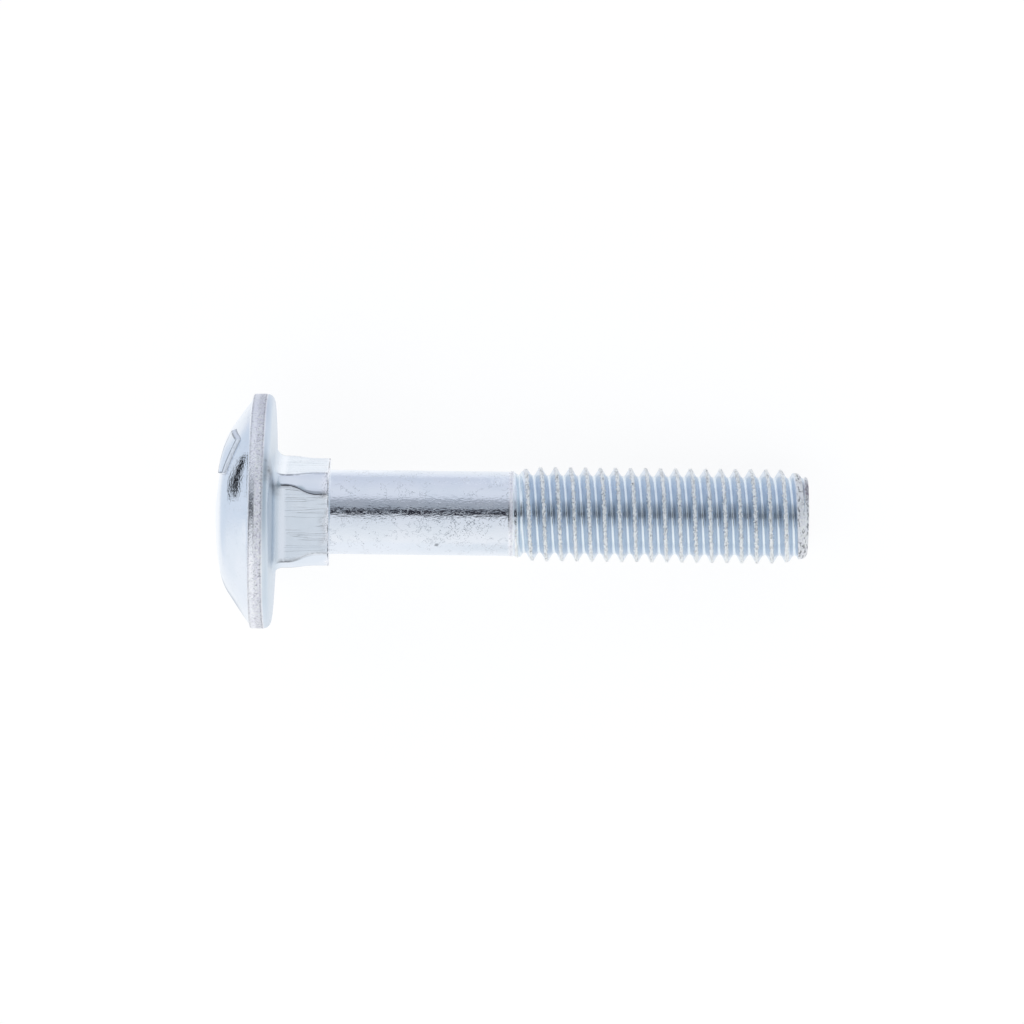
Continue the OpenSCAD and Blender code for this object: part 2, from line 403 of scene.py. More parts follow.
def rim_rings(skin, size):
    """Bevel, trimmed edge and rounding of the rim."""
    rim_r = size.head_d / 2
    # The rim is smoother beside the dome where it was rubbed
    worn = 0.7 - 0.42 * around(skin.turned(), 182, 42)
    skin.ring(rim_r - size.rim_bevel, -size.rim_t, rim=worn)
    corner = (rim_r - size.rim_bevel, -size.rim_t + size.rim_bevel)
    for step, (r, z) in enumerate(arc(corner, size.rim_bevel, -math.pi / 2, 0, 7)[1:]):
        skin.ring(r, z, rim=worn, seam=0.35 * bump_at(step, 3.5, 3))
    edge = (rim_r - size.rim_edge_r, -size.rim_edge_r - size.under_rise)
    # The trimmed edge is smoother beside the dome, torn beyond, and ends in a seam
    torn = corner[1] + 0.4 * MM
    for z in np.linspace(corner[1], edge[1], 18)[1:-1]:
        rough = worn + (1 - worn) * smooth((z - torn) / (0.2 * MM) + 0.5)
        skin.ring(rim_r, z, rim=rough, seam=0.4 * bump_at(z, edge[1], 0.1 * MM))
    # The rounding's inner part has painted shade beside the neck's upper corner
    for step, (r, z) in enumerate(arc(edge, size.rim_edge_r, 0, math.pi / 2, 16)):
        rough = smooth(1 - step / 3)
        skin.ring(
            r, z, rim=rough, under=1 - rough, seam=max(0.4 - 0.3 * step, 0),
            smudge=smudge_at(skin.turned()) * smooth(step / 5),
        )


def smudge_at(angles):
    """Where round the bolt the underside has painted shade, darker beside the neck's upper corner.
    """
    return around(angles, 159, 11)


def corner_radius(size, z):
    """Radius over the neck's corners at a height: two arcs that meet halfway."""
    top, low = size.corner_head_d / 2, size.corner_shank_d / 2
    fall = top - low
    bend = (size.corner_blend_l**2 + fall**2) / (4 * fall)
    at = min(max(z - size.corner_blend_at, 0), size.corner_blend_l)
    if at < size.corner_blend_l / 2:
        return top - bend + math.sqrt(bend**2 - at**2)
    return low + bend - math.sqrt(bend**2 - (size.corner_blend_l - at) ** 2)


def neck_ring(size, skin, z, grow=0.0):
    """Radius round the neck at a height, the columns' angles, the flats and their edges."""
    half = size.neck_w / 2 + grow
    corner = corner_radius(size, z) + grow
    edge = math.acos(min(half / corner, 0.999))
    angles = skin.turned(edge)
    local = angles - size.neck_turn
    local = local - np.round(local / (math.pi / 2)) * (math.pi / 2)
    flat = half / np.cos(local)
    soft = 0.12 * MM
    blend = np.clip(0.5 + 0.5 * (corner - flat) / soft, 0, 1)
    radius = corner * (1 - blend) + flat * blend - soft * blend * (1 - blend)
    on_flat = smooth((edge - np.abs(local)) / math.radians(3))
    on_edge = bump_at(np.abs(local), edge, math.radians(1.6))
    return radius, angles, on_flat, on_edge


def under_rings(skin, size):
    """Bearing face, and the fillet that leads to the neck."""
    outer = size.head_d / 2 - size.rim_edge_r
    r = size.neck_fillet_r
    root, angles, _, _ = neck_ring(size, skin, 0.0, grow=r)
    plain = skin.turned()
    # The bearing face and the fillet have painted shade beside the neck's upper corner
    for t in (0.03, 0.1, 0.2, 0.35, 0.5, 0.65, 0.8, 0.94):
        fall = -size.under_rise * (1 - t) ** 2
        turn = plain + (angles - plain) * smooth(t)
        skin.ring(outer + (root - outer) * t, fall, turn, under=1.0, smudge=smudge_at(turn))
    for a in np.linspace(0, 90, 9):
        z = r * (1 - math.cos(math.radians(a)))
        grow = r * (1 - math.sin(math.radians(a)))
        radius, angles, _, on_edge = neck_ring(size, skin, z, grow=grow)
        share = smooth((a - 35) / 60)
        skin.ring(
            radius, z, angles, under=1 - share, seam=on_edge * share,
            smudge=smudge_at(angles) * (1 - share),
        )


def flat_rings(skin, size):
    """Square neck, battered towards its end."""
    start, end = size.neck_fillet_r, size.neck_l
    for z in np.linspace(start, end - size.neck_bevel, 22)[1:]:
        radius, angles, on_flat, on_edge = neck_ring(size, skin, z)
        share = smooth((z - start) / (0.35 * MM)) * smooth((end - z) / (0.3 * MM))
        battered = 0.8 * smooth((z - end) / (0.9 * MM) + 1) * (1 - 0.6 * on_flat)
        patches = battered * patchy(radius, angles, z)
        creased = (0.5 + 0.5 * smooth((2.6 * MM - z) / (1.5 * MM))) * on_edge
        skin.ring(radius, z, angles, flat=on_flat * share, rim=patches, seam=creased)


# Rounding between the neck's end and the shank
NECK_FOOT = 0.12 * MM


def neck_end_rings(skin, size):
    """Bevel and face of the neck's end, and the rounding that leads to the shank."""
    end = size.neck_l
    for a in (15, 30, 45, 60, 75, 90):
        turn = math.radians(a)
        z = end - size.neck_bevel * (1 - math.sin(turn))
        cut = size.neck_bevel * (1 - math.cos(turn))
        radius, angles, _, _ = neck_ring(size, skin, end - size.neck_bevel, grow=-cut)
        creased = 0.9 * patchy(radius, angles, 1.6 * z) if a in (15, 30) else 0.0
        skin.ring(radius, z, angles, rim=0.5, seam=creased)
    inner = size.shank_d / 2
    plain = skin.turned()
    for t in (0.15, 0.5, 0.85):
        r = radius + (inner + NECK_FOOT - radius) * t
        skin.ring(r, end, angles + (plain - angles) * t)
    for a in np.linspace(0, 90, 5):
        turn = math.radians(a)
        r = inner + NECK_FOOT * (1 - math.sin(turn))
        skin.ring(r, end + NECK_FOOT * (1 - math.cos(turn)), shank=a / 90)


def patchy(radius, angles, z):
    """Where along a ring the metal is battered, by smooth noise: 0 to 1."""
    spots = zip(radius * np.cos(angles), radius * np.sin(angles))
    waves = [noise.noise(Vector((x, y, z)) / (0.9 * MM)) for x, y in spots]
    return smooth(0.5 + 2.2 * np.array(waves))


def thread_profile(size, gap):
    """Radius of the thread at a distance from the middle of its crest."""
    crest = size.thread_d / 2
    half = size.crest_w / 2
    round_r = (size.pitch / 2 - half) * math.sqrt(3) - size.thread_depth
    low = crest - size.thread_depth
    from_root = size.pitch / 2 - gap
    flank = crest - (gap - half) * math.sqrt(3)
    dip = np.clip(round_r**2 - from_root**2, 0, None)
    root = low + round_r - np.sqrt(dip)
    radius = np.where(from_root < round_r * math.sqrt(3) / 2, root, flank)
    soft = 0.03 * MM
    blend = np.clip(0.5 + 0.5 * (crest - radius) / soft, 0, 1)
    radius = crest * (1 - blend) + radius * blend - soft * blend * (1 - blend)
    # The rollers leave a fine seam along the crest
    seam_depth, seam_half = 0.035 * MM, 0.028 * MM
    return np.maximum(radius - seam_depth * np.exp(-((gap / seam_half) ** 2)), low)


def tip_radius(size, z):
    """Radius of the taper and of the rounded edge at the tip."""
    taper = math.atan((size.thread_d - size.tip_d) / 2 / size.tip_taper_l)
    r = size.tip_round
    edge_r = size.tip_d / 2 - r * (1 - math.sin(taper)) / math.cos(taper)
    edge_z = size.bolt_l - r
    cone = size.tip_d / 2 + (size.bolt_l - z) * math.tan(taper)
    rounded = edge_r + np.sqrt(np.clip(r * r - (z - edge_z) ** 2, 0, None))
    return np.where(z > edge_z + r * math.sin(taper), rounded, cone)


# Share of the tip's rounding, in height, that has plain rings beyond the end of the helix
ROUNDED_PART = 0.77


def thread_start(size):
    """Height where the thread's run-out starts."""
    return size.bolt_l - size.thread_l


def helix_end(size):
    """Height where the helix stops, within the rounding of the tip's edge."""
    return size.bolt_l - size.tip_round * ROUNDED_PART


def rolled_start(past):
    """The rough bright ring where the rolling starts, at a distance past the thread's start."""
    return 0.8 * bump_at(past, 0.02 * MM, 0.3 * MM)


def scuffs(skin, z):
    """Where along a ring of the shank the plating is scuffed."""
    wide = around(skin.turned(), 202, 38) * bump_at(z, 15.4 * MM, 5 * MM)
    return np.minimum(1.3 * wide, 1)


def thread_marks(gap, before, shown, tip):
    """Marks of the crest, the root and the groove, with the groove's painted shade, at a distance
    from the crest.
    """
    crest = np.clip(1 - gap / (0.4 * MM), 0, 1) * shown
    root = smooth((gap - 0.545 * MM) / (0.05 * MM)) * shown
    groove = np.clip(shown - smooth((0.2 * MM - gap) / (0.1 * MM)) - root, 0, 1) * (1 - tip)
    # Painted shade: the flanks grow darker towards the root, and the one before a crest is lighter
    groove = groove * (0.5 + 0.5 * np.clip((gap - 0.15 * MM) / (0.35 * MM), 0, 1))
    groove = groove * np.where(before, 0.85, 1.0)
    return crest, root, groove


def thread_surface(size, z, turn):
    """Radius and marks of the thread at a height and an angle."""
    along = (z - size.bolt_l) / size.pitch - (turn - size.thread_turn) / (2 * math.pi)
    gap = np.abs(along - np.round(along)) * size.pitch
    past = z - thread_start(size)
    fade = smooth(past / size.runout_l)
    # The first crests aren't fully formed
    grown = smooth(past / (3 * size.runout_l))
    plain = size.shank_d / 2
    shape = thread_profile(size, gap) - plain
    cut = plain + shape * np.where(shape > 0, grown, fade)
    # Fine ridges where the rollers bit first, which the root mark gives painted highlights
    ridges = sum(bump_at(past, at * MM, 0.13 * MM) for at in (0.16, 0.55, 0.86))
    cut = cut + 0.04 * MM * ridges
    end = tip_radius(size, z)
    from_tip = (z - size.bolt_l) / (0.5 * MM)
    tip = smooth((cut - end) / (0.05 * MM) + 0.5) * smooth(from_tip + 2.6)
    shown = smooth(2 * fade - 0.4)
    crest, root, groove = thread_marks(gap, along < np.round(along), shown, tip)
    # The root mark also carries the painted highlight along the root and on the ridges
    marks = {
        "crest": crest,
        "root": np.maximum(root, 0.9 * ridges) * (1 - tip),
        "groove": groove,
        "tip": tip,
        "rim": rolled_start(past),
        "stained": around(turn, 135, 30) * smooth(from_tip + 1.3),
    }
    return np.minimum(cut, end), marks


def shank_rings(skin, size):
    """Plain shank, with rings closer together beside the thread."""
    start = thread_start(size)
    plain = np.linspace(size.neck_l + NECK_FOOT, start - 0.5 * MM, 40)[1:]
    for z in np.concatenate([plain, np.linspace(start - 0.4 * MM, start, 6)]):
        skin.ring(
            size.shank_d / 2, z,
            shank=smooth((start - z) / (0.4 * MM) + 0.3),
            rim=rolled_start(z - start),
            scuff=scuffs(skin, z),
        )


def thread_rings(skin, size):
    """Right-hand thread, as one helix of rings that each climb a pitch in a turn."""
    # Distances from the crest in millimetres, closer together beside the crest
    gaps = np.array([0, 0.028, 0.06, 0.09, 0.13, 0.19, 0.26, 0.33, 0.39, 0.45, 0.51, 0.57])
    pitch = size.pitch / MM
    steps = np.concatenate([gaps, [pitch / 2], pitch - gaps[:0:-1]]) / pitch
    turns = math.ceil(size.thread_l / size.pitch) + 3
    base = skin.turned()
    first = len(skin.rings)
    zero = size.bolt_l - (turns - 1) * size.pitch - size.thread_turn / (2 * math.pi) * size.pitch
    for turn in range(turns):
        for step in steps:
            z = zero + (turn + step + base / (2 * math.pi)) * size.pitch
            z = np.clip(z, thread_start(size), helix_end(size))
            radius, marks = thread_surface(size, z, base)
            skin.ring(radius, z, **marks)
    skin.join(first, lead=len(steps))


def tip_rings(skin, size):
    """Rounded edge and end of the tip, beyond the helix."""
    first = len(skin.rings)
    for a in np.linspace(math.asin(1 - ROUNDED_PART), math.pi / 2, 9):
        z = np.full(skin.columns, size.bolt_l - size.tip_round * (1 - math.sin(a)))
        radius, marks = thread_surface(size, z, skin.turned())
        # The first of these rings lies on the thread's last one, so their marks agree there
        rounded = smooth((z - helix_end(size)) / (0.1 * MM))
        skin.ring(
            radius, z,
            tip=marks["tip"] + (1 - marks["tip"]) * rounded,
            crest=marks["crest"] * (1 - rounded),
            stained=marks["stained"],
        )
    for share in (0.985, 0.93, 0.8, 0.6, 0.4, 0.2, 0.0):
        dish = 0.05 * MM * (1 - share)
        skin.ring(radius * share, size.bolt_l - dish, tip=0.7)
    skin.join(first)


def pad_corners(size):
    """Corners of the plain pad, seen along the axis."""
    left = -size.pad_out
    return np.array(
        [
            (left, size.pad_shift),
            (left + size.pad_w - size.pad_taper, size.pad_shift),
            (left + size.pad_w, size.pad_shift + size.pad_l + size.pad_slant),
            (left, size.pad_shift + size.pad_l),
        ]
    )


def pad_inside(size, corners, x, y):
    """How far a place lies inside the pad's rounded edge."""
    deep = []
    for a, b in zip(corners, np.roll(corners, -1, axis=0)):
        side = (b - a) / np.linalg.norm(b - a)
        deep.append(side[0] * (y - a[1]) - side[1] * (x - a[0]) - size.pad_round)
    outside = math.sqrt(sum(min(d, 0) ** 2 for d in deep))
    return min(deep) + size.pad_round if outside == 0 else size.pad_round - outside


def pad_object(size, steps):
    """The plain raised pad, which follows the dome and sinks its edge into it."""
    outline = dome_outline(size)
    corners = pad_corners(size)
    wall, sunk, thick, line_half = 0.17 * MM, 0.03 * MM, 0.4 * MM, 0.09 * MM
    grid, lines = [], []
    for v in np.linspace(0, 1, steps):
        for u in np.linspace(0, 1, steps):
            low = corners[0] * (1 - u) + corners[1] * u
            high = corners[3] * (1 - u) + corners[2] * u
            x, y = low * (1 - v) + high * v
            inside = pad_inside(size, corners, x, y)
            rise = float(smooth(inside / wall))
            z = np.interp(math.hypot(x, y), outline[:, 0], outline[:, 1])
            z += dent_at(size, x, y) + lean_at(size, y, z)
            grid.append((x, y, z + sunk - (size.pad_h + sunk) * rise))
            # Dark lines along the foot and the top of the wall are painted shade
            lines.append(max(bump_at(inside, line, line_half) for line in (0.0, wall + sunk)))
    below = [(x, y, z + thick) for x, y, z in grid]
    count = steps * steps
    k = np.arange(count).reshape(steps, steps)
    top = np.stack([k[:-1, :-1], k[1:, :-1], k[1:, 1:], k[:-1, 1:]], axis=-1).reshape(-1, 4)
    edge = np.concatenate([k[0, :-1], k[:-1, -1], k[-1, :0:-1], k[:0:-1, 0]])
    onward = np.roll(edge, -1)
    sides = np.stack([edge, onward, count + onward, count + edge], axis=1)
    quads = np.concatenate([top, count + top[:, ::-1], sides])
    layers = {mark: np.zeros(2 * count) for mark in Skin.MARKS}
    layers["seam"] = np.array(lines + lines)
    layers["dome"] = np.ones(2 * count)
    return skin_object("raised_pad", np.array(grid + below), quads, layers)


class Link:
    """A shader socket that takes part in Python sums."""

    def __init__(self, shade, socket):
        self.shade = shade
        self.socket = socket

    def math(self, operation, *others):
        """A Math node on this value and the others."""
        return self.shade.math(operation, self, *others)

    def __add__(self, other):
        return self.math("ADD", other)

    __radd__ = __add__

    def __mul__(self, other):
        return self.math("MULTIPLY", other)

    __rmul__ = __mul__

    def __sub__(self, other):
        return self.math("SUBTRACT", other)

    def __rsub__(self, other):
        return self.shade.math("SUBTRACT", other, self)

    def __truediv__(self, other):
        return self.math("DIVIDE", other)

    def __rtruediv__(self, other):
        return self.shade.math("DIVIDE", other, self)

    def ramp(self, low, high, to_low=0.0, to_high=1.0):
        """This value carried smoothly from one range to another."""
        return self.shade.node(
            "ShaderNodeMapRange",
            {"interpolation_type": "SMOOTHSTEP"},
            **{
                "Value": self,
                "From Min": low,
                "From Max": high,
                "To Min": to_low,
                "To Max": to_high,
            },
        )

    def band(self, rise, fall):
        """1 between two ranges: this value rises over the first and falls over the second."""
        return self.ramp(*rise) * self.ramp(*fall, 1.0, 0.0)


def numbered(*values):
    """Values by the place of their input, for a node whose inputs share a name."""
    return {str(i): value for i, value in enumerate(values)}


class Shading:
    """A node tree that is written as Python calls."""

    def __init__(self, tree):
        self.tree = tree
        tree.nodes.clear()

    def node(self, kind, settings=None, output=0, **inputs):
        """Adds a node: its settings first, then the values or links of its sockets."""
        made = self.tree.nodes.new(kind)
        for name, setting in (settings or {}).items():
            if name == "stops":
                self.set_stops(made.color_ramp, setting)
            else:
                setattr(made, name, setting)
        for name, value in inputs.items():
            socket = made.inputs[int(name)] if name.isdigit() else made.inputs[name]
            if isinstance(value, Link):
                self.tree.links.new(value.socket, socket)
            else:
                socket.default_value = value
        return Link(self, made.outputs[output]) if len(made.outputs) else None

    @staticmethod
    def set_stops(ramp, stops):
        """Gives a colour ramp its stops, as (place, colour) pairs."""
        while len(ramp.elements) > 1:
            ramp.elements.remove(ramp.elements[-1])
        for i, (at, rgb) in enumerate(stops):
            stop = ramp.elements[0] if i == 0 else ramp.elements.new(at)
            stop.position = at
            stop.color = (*rgb, 1)

    def attribute(self, name, output="Fac"):
        """A value, or with output Vector a vector, kept on the mesh's points."""
        return self.node("ShaderNodeAttribute", {"attribute_name": name}, output)

    def math(self, operation, *values):
        """A Math node on values in their order."""
        return self.node("ShaderNodeMath", {"operation": operation}, **numbered(*values))

    def vector_math(self, operation, first, second, output="Value"):
        """A Vector Math node on two vectors."""
        inputs = numbered(first, second)
        return self.node("ShaderNodeVectorMath", {"operation": operation}, output, **inputs)

    def noise(self, place, scale, detail=2.0, stretch=None, roughness=0.5):
        """Smooth noise. A stretch below 1 draws its grains out along that direction."""
        if stretch:
            place = self.vector_math("MULTIPLY", place, stretch, "Vector")
        return self.node(
            "ShaderNodeTexNoise",
            Vector=place,
            Scale=scale,
            Detail=detail,
            Roughness=roughness,
        )

    def cells(self, place, scale):
        """Distance to the nearest of many scattered points."""
        return self.node("ShaderNodeTexVoronoi", output="Distance", Vector=place, Scale=scale)

    def mix(self, share, first, second):
        """A colour between two colours."""
        inputs = {"Factor": share, "6": first, "7": second}
        return self.node("ShaderNodeMix", {"data_type": "RGBA"}, 2, **inputs)

    def layered(self, base, layers):
        """A colour with others laid over it in turn, given as (share, colour) pairs."""
        for share, tint in layers:
            base = self.mix(share, base, rgba(tint))
        return base

    def mix_values(self, share, first, second):
        """A value between two values."""
        return share * (second - first) + first


def rgba(rgb):
    """A colour with full alpha."""
    return (*rgb, 1.0)


def new_material(name):
    """A material without nodes yet, and the means to write them."""
    material = bpy.data.materials.new(name)
    material.use_nodes = True
    return material, Shading(material.node_tree)


WHITE = (1.0, 1.0, 1.0)
# Where the shank has a nick, in the bolt's own frame, in millimetres
NICK_AT = (-2.33, -2.65, 13.57)


def edge_textures(shade, place, mark):
    """Textures of the forged and rolled edges: grain, pits, specks, streaks and torn seams."""
    speck = shade.noise(place, 5.5, 2.0, roughness=0.6)
    # The crests have ragged borders
    crest = (mark.crest + (speck - 0.5) * 1.1).ramp(0.58, 0.7)
    rough = (mark.rim + crest + mark.tip).math("MINIMUM", 1.0)
    return SimpleNamespace(
        speck=speck,
        crest=crest,
        rough=rough,
        grain=shade.noise(place, 8.5, 3.0, roughness=0.65),
        fleck=shade.noise(place, 3.4, 3.0, roughness=0.6),
        streak=shade.noise(place, 5.5, 3.0, stretch=(0.4, 0.4, 1.0), roughness=0.6),
        pits=shade.noise(place, 6.0, 3.0, roughness=0.7).ramp(0.58, 0.66) * rough,
        specks=speck.ramp(0.34, 0.42, 1.0, 0.0) * rough,
        glints=speck.ramp(0.55, 0.66) * rough,
        torn=shade.noise(place, 2.6, 4.0, roughness=0.7).ramp(0.36, 0.52) * mark.seam,
    )


def face_textures(shade, place, mark, speck):
    """Textures of the drawn and plated faces: dashes, hairlines, small dents and a nick."""
    smooth_face = mark.shank + mark.dome * 0.3
    where = shade.noise(place, 1.1, 1.0) + mark.scuff * 0.18
    bent = shade.noise(place, 1.7, 4.0, roughness=0.62)
    hair = (bent - 0.5).math("ABSOLUTE").ramp(0.0, 0.012, 1.0, 0.0)
    dots = shade.cells(place, 3.4).ramp(0.12, 0.2, 1.0, 0.0) * mark.scuff
    dent = shade.cells(place, 1.7).ramp(0.03, 0.1, 1.0, 0.0) * (mark.shank + mark.dome * 0.15)
    nick = shade.vector_math("DISTANCE", place, NICK_AT)
    line = shade.noise(place, 2.7, 1.0, stretch=(1.0, 1.0, 0.05))
    return SimpleNamespace(
        patch=shade.noise(place, 0.45, 2.0),
        dash=shade.noise(place, 7.5, 2.0, stretch=(1.0, 1.0, 0.42), roughness=0.55),
        pebble=shade.noise(place, 5.0, 1.0),
        ripple=shade.noise(place, 2.2, 2.0),
        bent=bent,
        hair=hair * where.ramp(0.52, 0.58) * smooth_face,
        dent=dent + dots * where.ramp(0.5, 0.56),
        nick=(nick + speck * 0.3).ramp(0.26, 0.38, 1.0, 0.0),
        # Fine lines that run along the neck's flats
        line=(line - 0.5).math("ABSOLUTE").ramp(0.0, 0.03, 1.0, 0.0) * mark.flat,
    )


def marred_share(mark, edge, face):
    """Where the plating is dark: pits, specks, seams, hairlines and dents, and painted shade beside
    the neck's corner and along the pad's edges.
    """
    dark_marks_and_shade = edge.pits * (mark.tip * -0.22 + 0.3)
    dark_marks_and_shade = dark_marks_and_shade + edge.specks * (edge.crest * 0.2 - mark.tip * 0.2 + 0.35)
    dark_marks_and_shade = dark_marks_and_shade + edge.torn * 0.6 + mark.seam * 0.3
    dark_marks_and_shade = dark_marks_and_shade + face.hair * (mark.scuff * 0.25 + 0.5) + face.dent * 0.6
    dark_marks_and_shade = dark_marks_and_shade + face.nick * 0.6 + face.line * 0.05
    streaks = edge.streak.ramp(0.4, 0.46, 1.0, 0.0)
    dark_marks_and_shade = dark_marks_and_shade + streaks * (edge.crest * 0.3 + mark.tip * 0.6)
    # Painted shade on the underside beside the neck's upper corner
    dark_marks_and_shade = dark_marks_and_shade + mark.smudge * face.bent.ramp(0.3, 0.6, 0.75, 0.35)
    return dark_marks_and_shade.math("MINIMUM", 1.0)


def zinc_colour(shade, look, mark, edge, face):
    """Colour of the plating, from its broad tints to its marks."""
    blue = face.patch.ramp(0.35, 0.65, 0.0, 0.5)
    mauve = edge.fleck.ramp(0.35, 0.6, 0.0, 0.8) * (mark.rim + mark.tip * 0.6)
    layers = (
        (blue, look.blue_zinc),
        # Painted shade on the thread's flanks, darker towards the root
        (mark.groove, look.groove),
        # Painted highlight along the thread's root and on the ridges where the rolling starts
        (mark.root, look.root),
        # Painted shade under the head; the neck's flats take a little of the same darker zinc
        (mark.flat * 0.3 + mark.under * 0.5, look.shaded),
        ((mark.rim * 1.6).math("MINIMUM", 1.0), look.rough_zinc),
        ((edge.crest + mark.tip).math("MINIMUM", 1.0), look.silver),
        (mauve, look.mauve),
        # Painted highlights: white glints on the rough edges
        (edge.glints * 0.9, WHITE),
        (edge.streak.ramp(0.44, 0.56, 0.35, 1.0) * mark.stained, look.stain),
        (marred_share(mark, edge, face), look.pit),
    )
    return shade.layered(rgba(look.zinc), layers)


def zinc_roughness(shade, look, mark, edge, face):
    """Roughness of the plating."""
    bright = look.bright_rough
    edges = edge.grain.ramp(0.3, 0.7, look.edge_rough * 0.75, look.edge_rough * 1.2)
    roughness = face.patch.ramp(0.3, 0.7, bright * 0.7, bright * 1.3)
    for share, layer in (
        (mark.flat, look.flat_rough),
        (mark.groove, look.groove_rough),
        (mark.root, look.groove_rough * 0.6),
        (edge.rough, edges),
        (mark.under, look.groove_rough * 1.3),
    ):
        roughness = shade.mix_values(share, roughness, layer)
    return roughness


def zinc_metallic(shade, look, mark, edge):
    """How much of the plating mirrors. The forged and rolled edges are duller."""
    dull = (mark.rim * 2.2 - 1.2).math("MAXIMUM", 0.0)
    dull = (dull + mark.tip * 0.8 + mark.root * 0.35 + edge.crest * 0.4).math("MINIMUM", 1.0)
    return shade.mix_values(dull, 1.0, 1.0 - look.edge_dull)


def zinc_relief(mark, edge, face):
    """Height of the fine relief."""
    relief = (edge.grain * 2.6 + edge.fleck * 2.0) * edge.rough - edge.pits * 1.5
    relief = relief + face.dash * mark.shank * face.patch.ramp(0.3, 0.7, 0.6, 1.2)
    relief = relief + face.ripple * (mark.shank * 0.4 + mark.dome * 0.12)
    relief = relief + face.pebble * mark.dome * 0.34 + edge.grain * (mark.dome * 0.04 + 0.05)
    relief = relief - face.hair * 0.3 - face.dent * 0.6
    return relief - face.line * 0.35 + face.dash * mark.flat * 0.25


def zinc_material(look):
    """Bright zinc over forged, drawn and rolled steel."""
    material, shade = new_material("bright_zinc")
    place = shade.attribute("place", "Vector")
    mark = SimpleNamespace(**{name: shade.attribute(name) for name in Skin.MARKS})
    edge = edge_textures(shade, place, mark)
    face = face_textures(shade, place, mark, edge.speck)
    relief = zinc_relief(mark, edge, face)
    surface = shade.node(
        "ShaderNodeBsdfPrincipled",
        Metallic=zinc_metallic(shade, look, mark, edge),
        Roughness=zinc_roughness(shade, look, mark, edge, face),
        Normal=shade.node("ShaderNodeBump", Strength=1.0, Distance=0.02 * MM, Height=relief),
        **{"Base Color": zinc_colour(shade, look, mark, edge, face)},
    )
    shade.node("ShaderNodeOutputMaterial", Surface=surface)
    return material


def dress(piece, material):
    """Gives a piece its material, its body and its place in the model."""
    piece.data.materials.clear()
    piece.data.materials.append(material)
    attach(piece, BODY)
    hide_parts(NODE)


def zinc():
    """The zinc material, made once."""
    found = bpy.data.materials.get("bright_zinc")
    return found or zinc_material(bpy.context.scene.zinc_look)


class BOLT_OT_make_bolt(bpy.types.Operator):
    """Makes the bolt's surface: head, neck, shank, thread and tip in one skin"""

    bl_idname = "bolt.make_bolt"
    bl_label = "Make bolt"

    def execute(self, context):
        size = context.scene.bolt_sizes
        skin = Skin(size, size.columns_flat)
        dome_rings(skin, size)
        rim_rings(skin, size)
        under_rings(skin, size)
        flat_rings(skin, size)
        neck_end_rings(skin, size)
        shank_rings(skin, size)
        skin.join(0)
        thread_rings(skin, size)
        tip_rings(skin, size)
        skin.uneven(size.roughcast)
        dress(skin.object("carriage_bolt"), zinc())
        return {"FINISHED"}


class BOLT_OT_make_pad(bpy.types.Operator):
    """Makes the plain raised pad on the dome"""

    bl_idname = "bolt.make_pad"
    bl_label = "Make raised pad"

    def execute(self, context):
        size = context.scene.bolt_sizes
        dress(pad_object(size, size.pad_steps), zinc())
        return {"FINISHED"}


# Brightness of the studio round the bolt, by the angle from straight above towards +Y
SKY_STOPS = (
    (-180, (1.06, 1.06, 1.06)),
    (-84, (1.05, 1.05, 1.05)),
    (-54, (0.97, 0.98, 0.99)),
    (-28, (0.88, 0.9, 0.93)),
    (-13, (0.87, 0.89, 0.93)),
    (-8, (0.77, 0.79, 0.84)),
    (-6, (0.03, 0.03, 0.04)),
    (7.5, (0.03, 0.03, 0.04)),
    (11, (0.38, 0.41, 0.46)),
    (20, (0.42, 0.45, 0.5)),
    (30, (0.42, 0.44, 0.49)),
    (35, (0.46, 0.49, 0.55)),
    (40, (0.74, 0.77, 0.84)),
    (50, (0.83, 0.86, 0.93)),
    (65, (0.83, 0.86, 0.92)),
    (75, (0.79, 0.82, 0.9)),
    (180, (0.79, 0.82, 0.9)),
)


def make_world():
    """A soft tent of light, with a dark slot above the bolt that its metal mirrors."""
    world = bpy.context.scene.world or bpy.data.worlds.new("studio")
    bpy.context.scene.world = world
    world.use_nodes = True
    shade = Shading(world.node_tree)
    ray = shade.node("ShaderNodeTexCoord", output="Generated")
    lengthwise, sideways, upwards = (
        shade.vector_math("DOT_PRODUCT", ray, tuple(direction))
        for direction in (ALONG, ACROSS, UPWARD)
    )
    turn = sideways.math("ARCTAN2", upwards) / (2 * math.pi) + 0.5
    # The ramp's colours stay below 1, so the sky's colours are divided by its strength
    strength = 2.0
    stops = [(a / 360 + 0.5, [c / strength for c in rgb]) for a, rgb in SKY_STOPS]
    sky = shade.node("ShaderNodeValToRGB", {"stops": stops}, Fac=turn)
    backward = lengthwise * -1
    past_tip = sideways.band((-0.45, -0.2), (0.62, 0.75)) * lengthwise.ramp(0.32, 0.52)
    over_rim = sideways.band((-0.6, -0.42), (0.3, 0.5)) * backward.ramp(0.09, 0.2)
    layers = (
        (past_tip, (0.25, 0.285, 0.315)),
        (over_rim, (0.04, 0.045, 0.05)),
        (backward.ramp(0.45, 0.6), (0.43, 0.45, 0.48)),
    )
    sky = shade.layered(sky, layers)
    path = shade.node("ShaderNodeLightPath", output="Is Camera Ray")
    seen = shade.mix(path, sky, rgba([c / strength for c in WHITE]))
    background = shade.node("ShaderNodeBackground", Color=seen, Strength=strength)
    shade.node("ShaderNodeOutputWorld", Surface=background)


